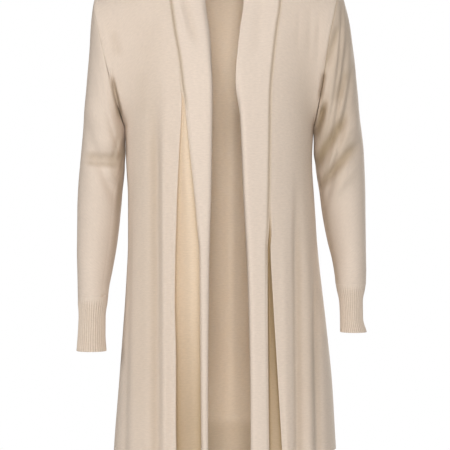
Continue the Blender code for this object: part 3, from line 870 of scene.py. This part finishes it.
def cuff_grid(side):
    """Rings of a cuff with rounded ribs; each starts at the underarm seam."""
    rings = CUFF_RINGS[side]
    top = rings[0].height - EDGE_GAP
    bottom = rings[-1].height
    fine = np.array(EDGE_STEPS)
    middle_part = np.linspace(top - fine[-1], bottom + CUFF_LAST_STEP, CUFF_LEVELS)
    heights = np.concatenate([top - fine[:-1], middle_part, [bottom]])[:, None]
    count = POINTS_PER_RIB * CUFF_RIBS
    turn = SLEEVE_SEAM_TURN[side] + 2 * math.pi * np.arange(count)[None, :] / count
    outer, inner, half_depth, middle = (
        read(rings, "height", name, heights) for name in ("outer", "inner", "half_depth", "middle")
    )
    rib = 0.5 - 0.5 * np.cos(CUFF_RIBS * (turn - SLEEVE_SEAM_TURN[side]))
    raised = RIB_HEIGHT * rib ** RIB_POWER * soft_step((top - heights) / RIB_FADE)
    x = (outer + inner) / 2 + ((outer - inner) / 2 + raised) * np.cos(turn)
    y = middle - (half_depth + raised) * np.sin(turn)
    return np.stack([side * x, y, heights + 0 * turn], axis=2), raised


def outward(grid, sign, closed):
    """Unit normals of a grid of points, on the side that faces out."""
    if closed:
        across = np.roll(grid, -1, axis=1) - np.roll(grid, 1, axis=1)
    else:
        across = np.gradient(grid, axis=1)
    normals = np.cross(across, np.gradient(grid, axis=0)) * sign
    lengths = length(normals)[:, :, None]
    return normals / np.maximum(lengths, TINY)


def dragged(grid, drags, spread=1.0):
    """Height of the drag lines at each point of a grid."""
    height = np.zeros(grid.shape[:2])
    for drag in drags:
        start = np.array([drag.x, drag.z], dtype=float)
        run = np.array([drag.to_x, drag.to_z]) - start
        place = grid[:, :, [0, 2]] - start
        t = limited((place @ run) / (run @ run))
        away = length(place - t[:, :, None] * run)
        width = between(drag.width, drag.to_width, t) * spread
        fade = soft_step(t / DRAG_FADE) * soft_step((1 - t) / DRAG_FADE) * (1 - DRAG_END) + DRAG_END
        height += drag.height * fade * bell(away / width)
    return height


def edge_distance(grid, axis, last):
    """Distance of each point from the first or last row or column."""
    steps = length(np.diff(grid, axis=axis))
    pad = [(0, 0), (0, 0)]
    pad[axis] = (1, 0)
    travelled = np.cumsum(np.pad(steps, pad), axis=axis)
    total = travelled.max(axis=axis, keepdims=True)
    return total - travelled if last else travelled


def groove(distance, depth, reach, centre=0.0):
    """Groove of a seam or of a line of stitching at a distance from an edge."""
    return -depth * bell((distance - centre) / reach)


def crease_shade(height):
    """Shade of the valleys in a map of heights."""
    return CREASE_SHADE * soft_step(-height / CREASE_FULL)


def seam_shade(distance):
    """Shade beside a seam at a distance from it."""
    return SEAM_SHADE * bell(distance / SEAM_SHADE_REACH)


def padded(values, axis, last):
    """Map with its first or last row or column repeated, for the allowance."""
    edge = np.take(values, [-1 if last else 0], axis=axis)
    return np.concatenate([values, edge] if last else [edge, values], axis=axis)


def allowance(grid, normals, axis, last):
    """Grid with one more row or column, turned in at a seam."""
    edge = np.take(grid, [-1 if last else 0], axis=axis)
    into = np.take(normals, [-1 if last else 0], axis=axis)
    extra = edge - into * ALLOWANCE
    return np.concatenate([grid, extra] if last else [extra, grid], axis=axis)


def seam_map(grid, closed):
    """Distances along the cloth: across the wales from the first column, and up the courses."""
    steps = length(np.diff(grid, axis=1))
    across = np.cumsum(np.pad(steps, [(0, 0), (1, 0)]), axis=1)
    if closed:
        last = length(grid[:, :1] - grid[:, -1:])
        across = np.concatenate([across, across[:, -1:] + last], axis=1)
    rows = length(np.diff(grid, axis=0)).mean(axis=1)
    up = np.concatenate([[0.0], np.cumsum(rows)])[:, None] + 0 * across
    return np.stack([across, up], axis=2)


def cloth_mesh(name, grid, sign, wall, closed, shades):
    """Closed mesh of a sheet: both faces, round rims, a map along its wales, and painted light and shade,
    each with one map for the outer and one for the inner face."""
    rows, columns = grid.shape[:2]
    normals = outward(grid, sign, closed)
    index = np.arange(rows * columns).reshape(rows, columns)
    places = seam_map(grid, closed)
    if closed:
        wide = np.concatenate([index, index[:, :1]], axis=1)
        loops = [wide[0], wide[-1, ::-1]]
        place_index = np.arange(rows * (columns + 1)).reshape(rows, columns + 1)
        place_loops = [place_index[0], place_index[-1, ::-1]]
    else:
        wide = index
        place_index = index
        loops = [np.concatenate([index[0], index[1:, -1], index[-1, -2::-1], index[-2::-1, 0]])]
        place_loops = loops

    def quads(table):
        return np.stack([table[:-1, :-1], table[:-1, 1:], table[1:, 1:], table[1:, :-1]], -1).reshape(-1, 4)

    edge_way = np.zeros_like(grid)
    for axis in ((0,) if closed else (0, 1)):
        for end, inner in ((0, 1), (-1, -2)):
            way = np.take(grid, [end], axis=axis) - np.take(grid, [inner], axis=axis)
            way /= np.maximum(length(way)[:, :, None], TINY)
            if axis == 0:
                edge_way[[end]] += way
            else:
                edge_way[:, [end]] += way
    edge_way -= (edge_way * normals).sum(axis=2, keepdims=True) * normals
    edge_way /= np.maximum(length(edge_way)[:, :, None], TINY)

    flat_grid = grid.reshape(-1, 3)
    flat_normals = normals.reshape(-1, 3)
    flat_way = edge_way.reshape(-1, 3)
    count = rows * columns
    points = [flat_grid, flat_grid - flat_normals * wall]
    painted_maps = {key: [outer.reshape(-1), inner.reshape(-1)] for key, (outer, inner) in shades.items()}
    faces = [quads(wide), quads(wide + count)[:, ::-1]]
    corners = [quads(place_index), quads(place_index)[:, ::-1]]
    total = 2 * count
    for loop, place_loop in zip(loops, place_loops):
        below = [loop]
        ring = loop[:-1]
        for turn in RIM_TURNS:
            out = math.sin(turn) * wall / 2
            down = (1 - math.cos(turn)) * wall / 2
            points.append(flat_grid[ring] + flat_way[ring] * out - flat_normals[ring] * down)
            for key, (outer, inner) in shades.items():
                painted_maps[key].append(outer.reshape(-1)[ring])
            new = total + np.arange(len(ring))
            below.append(np.concatenate([new, new[:1]]))
            total += len(ring)
        below.append(loop + count)
        for upper, lower in zip(below[:-1], below[1:]):
            faces.append(np.stack([upper[1:], upper[:-1], lower[:-1], lower[1:]], axis=1))
            ends = [place_loop[1:], place_loop[:-1]]
            corners.append(np.stack(ends + ends[::-1], axis=1))
    faces = np.concatenate(faces)
    corners = np.concatenate(corners)
    if sign < 0:
        faces = faces[:, ::-1]
        corners = corners[:, ::-1]
    points = np.concatenate(points) * MM

    mesh = bpy.data.meshes.new(name)
    mesh.from_pydata(points, [], faces)
    layer = mesh.uv_layers.new(name=CLOTH_MAP)
    layer.data.foreach_set("uv", places.reshape(-1, 2)[corners.ravel()].astype(np.float32).ravel())
    for key, values in painted_maps.items():
        shade = mesh.attributes.new(key, "FLOAT", "POINT")
        shade.data.foreach_set("value", np.concatenate(values).astype(np.float32))
    mesh.validate()
    mesh.shade_smooth()
    return mesh


def finished(grid, sign, closed, grooves, seams, shades, height=0.0):
    """Grid with its grooves sunk and its seams' edges turned in, and its shades made to match."""
    for edge, *shape in grooves:
        height = height + groove(edge_distance(grid, *edge), *shape)
    grid = grid + outward(grid, sign, closed) * height[:, :, None]
    for edge in seams:
        grid = allowance(grid, outward(grid, sign, closed), *edge)
        shades = [padded(shade, *edge) for shade in shades]
    return [grid, *shades]


def finished_panel(grid, sign, last_depth, shades):
    """Front or back with its side, top and last seam and its hem's stitches."""
    grooves = (
        (FIRST_COLUMN, SIDE_TUCK_DEPTH, TUCK_REACH),
        (LAST_COLUMN, last_depth, TUCK_REACH),
        (LAST_ROW, TUCK_DEPTH, TUCK_REACH),
        (FIRST_ROW, HEM_GROOVE, HEM_REACH, HEM_LINE),
    )
    return finished(grid, sign, False, grooves, (FIRST_COLUMN, LAST_COLUMN, LAST_ROW), shades)


def add_object(name, data):
    """New object in the scene."""
    thing = bpy.data.objects.new(name, data)
    bpy.context.scene.collection.objects.link(thing)
    return thing


def add_cloth(node, grid, sign, wall, material, deep, painted_light_map=None, deep_inside=None):
    """Piece of cloth in place of a node."""
    # Maps of painted warm light and painted shade for the outer and inner faces; the back's inner face gets
    # painted warm light all over
    painted_light_map = np.zeros(grid.shape[:2]) if painted_light_map is None else painted_light_map
    shades = {PAINTED_LIGHT: (painted_light_map, painted_light_map), PAINTED_SHADE: (deep, deep)}
    if deep_inside is not None:
        shades = {PAINTED_LIGHT: (painted_light_map, painted_light_map + INSIDE_PAINTED_LIGHT), PAINTED_SHADE: (deep, deep_inside)}
    name = node + "_cloth"
    mesh = cloth_mesh(name, grid, sign, wall, node.startswith(TUBES), shades)
    mesh.materials.append(material)
    piece = add_object(name, mesh)
    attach(piece, "root")
    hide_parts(node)


def closed_pleat(side):
    """1 at the levels where a pleat is closed and its seam shows, and 0 where it is open."""
    widths = np.array([line_x(side, level, "lip") - line_x(side, level, "band") for level in levels()])
    return 1 - soft_step((widths - CLOSED_WIDTH) / CLOSED_SOFT)


def add_front(side, material):
    """Front of one side, with its folds, drag lines and seams."""
    pairs = [front_line(side, level) for level in levels()]
    grid = np.array([line for line, sunk in pairs])
    sunk, place = np.moveaxis(np.array([sunk for line, sunk in pairs]), 2, 0)
    # Painted shade in the folds, drag lines and closed band seam and over broad stretches, and painted warm
    # light with painted shade inside the pleat
    folds = FRONT_FOLDS[side] + FINE_FRONT_FOLDS[side]
    creases = FOLD_SHADE * fold_height(grid[:, :, 0], grid[:, :, 2], folds)
    creases += dragged(grid, FRONT_DRAGS[side], CREASE_SPREAD)
    deep = (crease_shade(creases) + dragged(grid, FRONT_SHADES[side])) * (place < 0)
    painted_light_map = soft_step(sunk / PAINTED_LIGHT_DEPTH)
    deep += seam_shade(edge_distance(grid, *LAST_COLUMN)) * (1 - painted_light_map) * closed_pleat(side)[:, None]
    down = (UNDERARM - grid[:, :, 2]) / (UNDERARM - FRONT_HEM)
    down = soft_step((down - PLEAT_LOW_START) / (1 - PLEAT_LOW_START))
    in_pleat = PLEAT_SHADE[side] + PLEAT_LOW_SHADE[side] * down
    in_pleat += PLEAT_LIP_SHADE * bell(place / PLEAT_SIDE_REACH)
    in_pleat += PLEAT_BAND_SHADE * bell((1 - place) / PLEAT_SIDE_REACH)
    deep += painted_light_map * in_pleat
    grid[:, :, 1] -= dragged(grid, FRONT_DRAGS[side])
    grid, deep, painted_light_map = finished_panel(grid, -side, TUCK_DEPTH, (deep, painted_light_map))
    add_cloth("front_" + SIDE_WORD[side], grid, -side, CLOTH, material, deep, painted_light_map)


def add_back(material):
    """Back, with its folds, drag lines and seams."""
    grid = np.array([back_line(level) for level in levels()])
    x, z = grid[:, :, 0], grid[:, :, 2]
    drags = BACK_DRAGS[-1] + BACK_DRAGS[1]
    # Painted shade in the folds and drag lines, and on the inside beside the ridge and below some heights
    creases = FOLD_SHADE * fold_height(x, z, BACK_FOLDS + FINE_BACK_FOLDS)
    deep = crease_shade(creases + dragged(grid, drags, CREASE_SPREAD))
    inside = INSIDE_SHADE * (1 - bell((x - INSIDE_RIDGE_X) / INSIDE_SHADE_REACH))
    for below in INSIDE_BELOW:
        inside += below.shade * soft_step((below.start - z) / below.reach)
    grid[:, :, 1] += dragged(grid, drags)
    grid, deep, inside = finished_panel(grid, -1, SIDE_TUCK_DEPTH, (deep, inside))
    add_cloth("back", grid, -1, CLOTH, material, deep, None, inside)


def add_band(side, material):
    """Doubled front band of one side."""
    grid = band_grid(side)
    # Painted shade in the drag lines, and beside the seam where the pleat is closed
    deep = crease_shade(dragged(grid, BAND_DRAGS[side], CREASE_SPREAD))
    closed = closed_pleat(side)
    closed = np.concatenate([closed, np.ones(len(grid) - len(closed))])
    deep += seam_shade(edge_distance(grid, *FIRST_COLUMN)) * closed[:, None]
    grid[:, :, 1] -= dragged(grid, BAND_DRAGS[side])
    grooves = (
        (FIRST_COLUMN, TUCK_DEPTH, TUCK_REACH),
        (LAST_ROW, TUCK_DEPTH, TUCK_REACH),
        (LAST_COLUMN, BAND_GROOVE, BAND_GROOVE_REACH, BAND_STITCH_LINE),
    )
    grid, deep = finished(grid, -side, False, grooves, (FIRST_COLUMN,), (deep,))
    add_cloth("band_" + SIDE_WORD[side], grid, -side, BAND_CLOTH, material, deep)


def add_sleeve(side, material):
    """Sleeve of one side, with creases in front and behind and its underarm seam."""
    grid = sleeve_grid(side)
    front = soft_step((FRONT_TURN_Y - grid[:, :, 1]) / FRONT_TURN_SOFT)
    drags = FRONT_DRAGS[side] + SLEEVE_DRAGS[side]
    # Painted shade in the drag lines, over broad stretches in front, and beside the armhole seam
    deep = crease_shade(front * dragged(grid, drags, CREASE_SPREAD)
                        + (1 - front) * dragged(grid, BACK_DRAGS[side], CREASE_SPREAD))
    deep += front * dragged(grid, SLEEVE_SHADES[side])
    deep += ARMHOLE_SHADE * seam_shade(edge_distance(grid, *FIRST_ROW))
    grid[:, :, 1] -= front * dragged(grid, drags) - (1 - front) * dragged(grid, BACK_DRAGS[side])
    z = grid[:, :, 2]
    under = soft_step((PRESS_TOP - z) / PRESS_SOFT) * soft_step((z - PRESS_END) / PRESS_SOFT)
    inner = soft_step((PRESS_X - side * grid[:, :, 0]) / PRESS_SOFT)
    grid[:, :, 0] -= side * PRESS * under * inner
    around = seam_map(grid, True)[:, :, 0]
    from_seam = np.minimum(around[:, :-1], around[:, -1:] - around[:, :-1])
    seam = groove(from_seam, SLEEVE_SEAM_DEPTH, SLEEVE_SEAM_REACH)
    grooves = ((FIRST_ROW, SLEEVE_TUCK_DEPTH, TUCK_REACH),)
    grid, deep = finished(grid, side, True, grooves, (FIRST_ROW, LAST_ROW), (deep,), seam)
    add_cloth("sleeve_" + SIDE_WORD[side], grid, side, CLOTH, material, deep)


def add_cuff(side, material):
    """Ribbed cuff of one side."""
    grid, raised = cuff_grid(side)
    # Painted shade between the ribs
    deep = RIB_SHADE * (raised.max(axis=1, keepdims=True) - raised) / RIB_HEIGHT
    grid = allowance(grid, outward(grid, side, True), *FIRST_ROW)
    deep = padded(deep, *FIRST_ROW)
    add_cloth("cuff_" + SIDE_WORD[side], grid, side, CUFF_CLOTH, material, deep)


class Nodes:
    """Short ways to add and link the nodes of one material."""

    def __init__(self, name):
        self.material = bpy.data.materials.new(name)
        self.material.use_nodes = True
        self.tree = self.material.node_tree
        self.shader = self.tree.nodes["Principled BSDF"]

    def add(self, kind):
        return self.tree.nodes.new("ShaderNode" + kind)

    def put(self, value, socket):
        """Number, colour or link for a socket."""
        if isinstance(value, (int, float)):
            socket.default_value = value
        elif isinstance(value, tuple):
            socket.default_value = (*value, 1.0) if socket.type == "RGBA" else value
        else:
            self.tree.links.new(value, socket)

    def shade(self, values):
        """Numbers, colours or links for the shader."""
        for name, value in values.items():
            self.put(value, self.shader.inputs[name])

    def math(self, operation, *values):
        node = self.add("Math")
        node.operation = operation
        for value, socket in zip(values, node.inputs):
            self.put(value, socket)
        return node.outputs[0]

    def times(self, first, second):
        return self.math("MULTIPLY", first, second)

    def noise(self, vector, scale, detail):
        node = self.add("TexNoise")
        for name, value in (("Vector", vector), ("Scale", scale), ("Detail", detail)):
            self.put(value, node.inputs[name])
        return node.outputs["Fac"]

    def blend(self, factor, first, second, kind="MIX"):
        node = self.add("Mix")
        node.data_type = "RGBA"
        node.blend_type = kind
        self.put(factor, node.inputs["Factor"])
        self.put(first, node.inputs["A"])
        self.put(second, node.inputs["B"])
        return node.outputs["Result"]

    def spread(self, value, low, high):
        """Value from 0 to 1 spread between two numbers."""
        return self.math("ADD", self.times(value, high - low), low)


def knit(name, look):
    """Knit cloth: stitches along the cloth's own map, mottling, streaks, and painted warm light and painted
    shade.
    """
    nodes = Nodes(name)
    place = nodes.add("UVMap")
    place.uv_map = CLOTH_MAP
    parts = nodes.add("SeparateXYZ")
    nodes.put(place.outputs["UV"], parts.inputs[0])
    across, up = parts.outputs["X"], parts.outputs["Y"]
    wale = nodes.math("FRACT", nodes.math("DIVIDE", across, WALE))
    off_middle = nodes.math("ABSOLUTE", nodes.math("SUBTRACT", wale, 0.5))
    ridge = nodes.math("SINE", nodes.times(wale, math.pi))
    course = nodes.math("ADD", nodes.math("DIVIDE", up, COURSE), nodes.times(off_middle, SLANT))
    leg = nodes.math("SINE", nodes.times(course, 2 * math.pi))
    stitch = nodes.times(ridge, nodes.spread(leg, LEG_LOW, LEG_HIGH))
    solid = nodes.add("TexCoord").outputs["Object"]
    cloud = nodes.noise(solid, CLOUD_SCALE, CLOUD_DETAIL)
    streak_place = nodes.add("CombineXYZ")
    nodes.put(nodes.times(across, STREAKS_ACROSS), streak_place.inputs[0])
    nodes.put(nodes.times(up, STREAKS_UP), streak_place.inputs[1])
    streak = nodes.noise(streak_place.outputs[0], 1.0, FINE_DETAIL)
    fuzz = nodes.noise(solid, FUZZ_SCALE, FINE_DETAIL)

    shade = 1.0
    for value, darker, lighter in (
        (cloud, look.mottling, look.mottling),
        (stitch, look.stitch_shade, look.stitch_shade / 2),
        (streak, STREAK_SHADE, STREAK_SHADE),
    ):
        shade = nodes.times(shade, nodes.spread(value, 1 - darker, 1 + lighter))
    colour = nodes.blend(1.0, look.colour, shade, "MULTIPLY")
    # Painted warm light and painted shade, each laid on by its own map on the mesh
    for key, tone in ((PAINTED_LIGHT, PAINTED_LIGHT_COLOUR), (PAINTED_SHADE, PAINTED_SHADE_COLOUR)):
        amount = nodes.add("Attribute")
        amount.attribute_name = key
        painted_tone = nodes.blend(1.0, colour, tone, "MULTIPLY")
        colour = nodes.blend(amount.outputs["Fac"], colour, painted_tone)

    bump = nodes.add("Bump")
    nodes.put(look.bump, bump.inputs["Strength"])
    nodes.put(MM, bump.inputs["Distance"])
    height = nodes.math("ADD", nodes.times(stitch, STITCH_HEIGHT), nodes.times(fuzz, FUZZ_HEIGHT))
    nodes.put(height, bump.inputs["Height"])
    nodes.shade({
        "Base Color": colour,
        "Normal": bump.outputs["Normal"],
        "Metallic": 0.0,
        "Roughness": KNIT_ROUGHNESS,
        "Specular IOR Level": KNIT_SPECULAR,
        "Sheen Weight": SHEEN,
        "Sheen Tint": look.colour,
        "Sheen Roughness": SHEEN_ROUGHNESS,
        "Subsurface Weight": look.softness,
        "Subsurface Radius": SOFT_RADIUS,
        "Subsurface Scale": SOFT_SCALE,
    })
    return nodes.material


def plain(name, colour, roughness):
    """Plain matte material."""
    nodes = Nodes(name)
    nodes.shade({"Base Color": colour, "Roughness": roughness, "Metallic": 0.0})
    return nodes.material


def add_floor():
    """Plain pale floor well under the garment."""
    mesh = bpy.data.meshes.new("floor")
    corners = ((-1, -1), (1, -1), (1, 1), (-1, 1))
    corners = [(x * FLOOR_HALF, y * FLOOR_HALF, FLOOR_HEIGHT) for x, y in corners]
    mesh.from_pydata(corners, [], [(0, 1, 2, 3)])
    mesh.materials.append(plain("pale_floor", FLOOR_COLOUR, FLOOR_ROUGHNESS))
    add_object("floor", mesh)


def add_lights():
    """Soft studio lights, and a pale surround that is white where it is seen."""
    for lamp in LAMPS:
        data = bpy.data.lights.new(lamp.name, "AREA")
        data.shape = "DISK"
        data.size = lamp.size
        data.energy = lamp.power
        data.color = lamp.colour
        thing = add_object(lamp.name, data)
        thing.location = lamp.place
        way = Vector(LAMP_AIM) - Vector(lamp.place)
        thing.rotation_euler = way.to_track_quat("-Z", "Y").to_euler()
    world = bpy.data.worlds.new("studio")
    world.use_nodes = True
    tree = world.node_tree
    tree.nodes.clear()
    mix = tree.nodes.new("ShaderNodeMixShader")
    for place, (colour, strength) in enumerate(((SURROUND_COLOUR, SURROUND_LIGHT), (WHITE, 1.0)), 1):
        background = tree.nodes.new("ShaderNodeBackground")
        background.inputs["Color"].default_value = (*colour, 1.0)
        background.inputs["Strength"].default_value = strength
        tree.links.new(background.outputs["Background"], mix.inputs[place])
    path = tree.nodes.new("ShaderNodeLightPath")
    tree.links.new(path.outputs["Is Camera Ray"], mix.inputs["Fac"])
    out = tree.nodes.new("ShaderNodeOutputWorld")
    tree.links.new(mix.outputs["Shader"], out.inputs["Surface"])
    bpy.context.scene.world = world


def add_camera():
    """Camera at the photograph's place, level with the middle of the garment."""
    data = bpy.data.cameras.new("camera")
    data.sensor_width = SENSOR_WIDTH
    data.lens = LENS
    camera = add_object("camera", data)
    camera.location = CAMERA_PLACE
    camera.rotation_euler = (math.pi / 2, 0.0, 0.0)
    bpy.context.scene.camera = camera


def main():
    """Cloth pieces, floor, lights and camera."""
    knits = {word: knit(word + "_knit", look) for word, look in LOOKS.items()}
    add_back(knits["back"])
    for side in SIDES:
        add_front(side, knits["front"])
        add_band(side, knits["band"])
        add_sleeve(side, knits["sleeve"])
        add_cuff(side, knits["cuff"])
    add_floor()
    add_lights()
    add_camera()
    bpy.context.scene.view_settings.view_transform = "Standard"


main()
